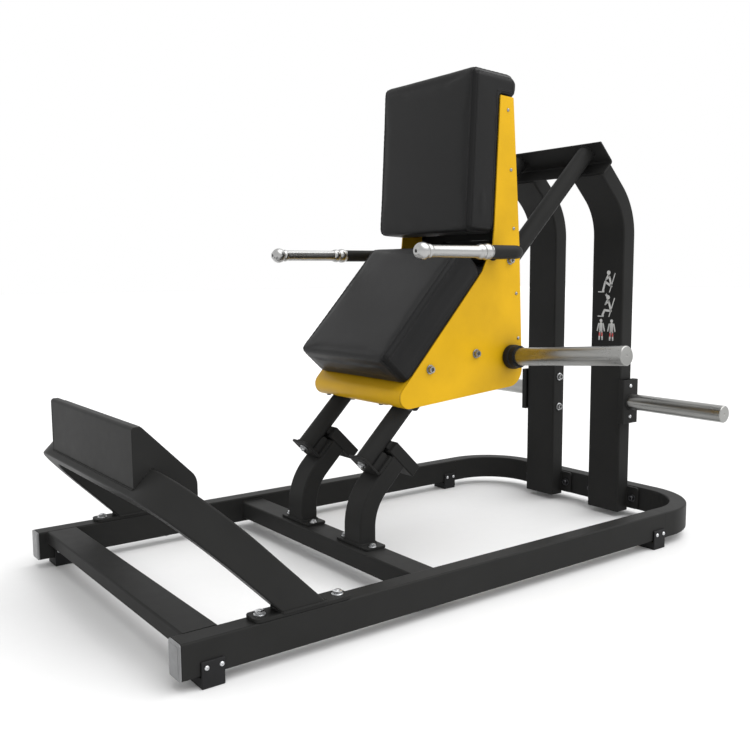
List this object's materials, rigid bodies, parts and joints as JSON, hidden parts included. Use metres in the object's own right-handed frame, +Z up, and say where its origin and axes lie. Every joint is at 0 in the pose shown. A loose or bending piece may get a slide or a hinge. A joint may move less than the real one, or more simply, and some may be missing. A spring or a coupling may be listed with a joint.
{
  "type": "hack squat machine",
  "caption": "Plate-loaded hack squat machine: a padded carriage slides up inclined twin guide rails from a low rounded floor frame, in front of an arched foot rest.",
  "frame": {"origin": "centre of the machine's footprint on the floor, at the bottom of its bounding box", "axes": "+Z up; +Y along the base rails, from the foot rest back to the uprights; +X across the machine, to the right of someone facing from the foot rest towards the uprights"},
  "size_m": [1.2072, 1.7454, 1.3277],
  "materials": {
    "black_powder_coat": "satin charcoal-black powder coat with a very fine texture",
    "yellow_powder_coat": "smooth satin golden-yellow powder coat",
    "polished_chrome": "polished chrome plate",
    "black_vinyl": "black upholstery vinyl with a soft sheen",
    "black_rubber": "matt black moulded rubber",
    "grey_plastic": "mid-grey moulded plastic with a silver tone",
    "black_nylon": "black turned nylon",
    "plywood": "black-stained birch plywood",
    "cast_aluminium": "machined cast aluminium"
  },
  "bodies": {
    "frame": {"side_rail_right": "black_powder_coat", "side_rail_left": "black_powder_coat", "rear_hoop": "black_powder_coat", "front_crossbar": "black_powder_coat", "mid_crossbar": "black_powder_coat", "end_cap_right": "grey_plastic", "end_cap_left": "grey_plastic", "foot_front_right": "black_rubber", "foot_front_left": "black_rubber", "foot_rear_right": "black_rubber", "foot_rear_left": "black_rubber", "guide_rail_right": "black_powder_coat", "guide_rail_left": "black_powder_coat", "guide_shoe_right": "black_powder_coat", "guide_shoe_left": "black_powder_coat", "leg_head_right": "black_powder_coat", "leg_head_left": "black_powder_coat", "stop_collar_right": "black_powder_coat", "stop_collar_left": "black_powder_coat", "stop_buffer_right": "black_rubber", "stop_buffer_left": "black_rubber", "leg_right": "black_powder_coat", "leg_left": "black_powder_coat", "leg_base_plate_right": "black_powder_coat", "leg_base_plate_left": "black_powder_coat", "upright_right": "black_powder_coat", "upright_left": "black_powder_coat", "top_crossbar": "black_powder_coat", "storage_bracket_right": "black_powder_coat", "storage_bracket_left": "black_powder_coat", "storage_horn_right": "polished_chrome", "storage_horn_left": "polished_chrome", "foot_arch": "black_powder_coat", "arch_flange_right": "black_powder_coat", "arch_flange_left": "black_powder_coat", "foot_box": "black_powder_coat", "tread_mat": "black_rubber"},
    "carriage": {"side_plate_right": "yellow_powder_coat", "side_plate_left": "yellow_powder_coat", "front_nose": "yellow_powder_coat", "rear_cover_upper": "black_powder_coat", "rear_cover_middle": "black_powder_coat", "rear_cover_lower": "black_powder_coat", "cross_tube": "black_powder_coat", "horn_axle": "black_powder_coat", "bearing_block_lower_right": "cast_aluminium", "bearing_block_lower_left": "cast_aluminium", "bearing_block_upper_right": "cast_aluminium", "bearing_block_upper_left": "cast_aluminium", "upper_pad": "black_vinyl", "lower_pad": "black_vinyl", "upper_pad_board": "plywood", "lower_pad_board": "plywood", "handle_bar": "black_powder_coat", "handle_grip_right": "polished_chrome", "handle_grip_left": "polished_chrome", "horn_collar_right": "black_nylon", "horn_collar_left": "black_nylon", "weight_horn_right": "polished_chrome", "weight_horn_left": "polished_chrome"}
  },
  "joints": [
    {"name": "carriage_slide", "type": "slide", "parent": "frame", "child": "carriage", "axis": [0, 0.7071, 0.7071], "range_m": [0, 0.42]}
  ]
}
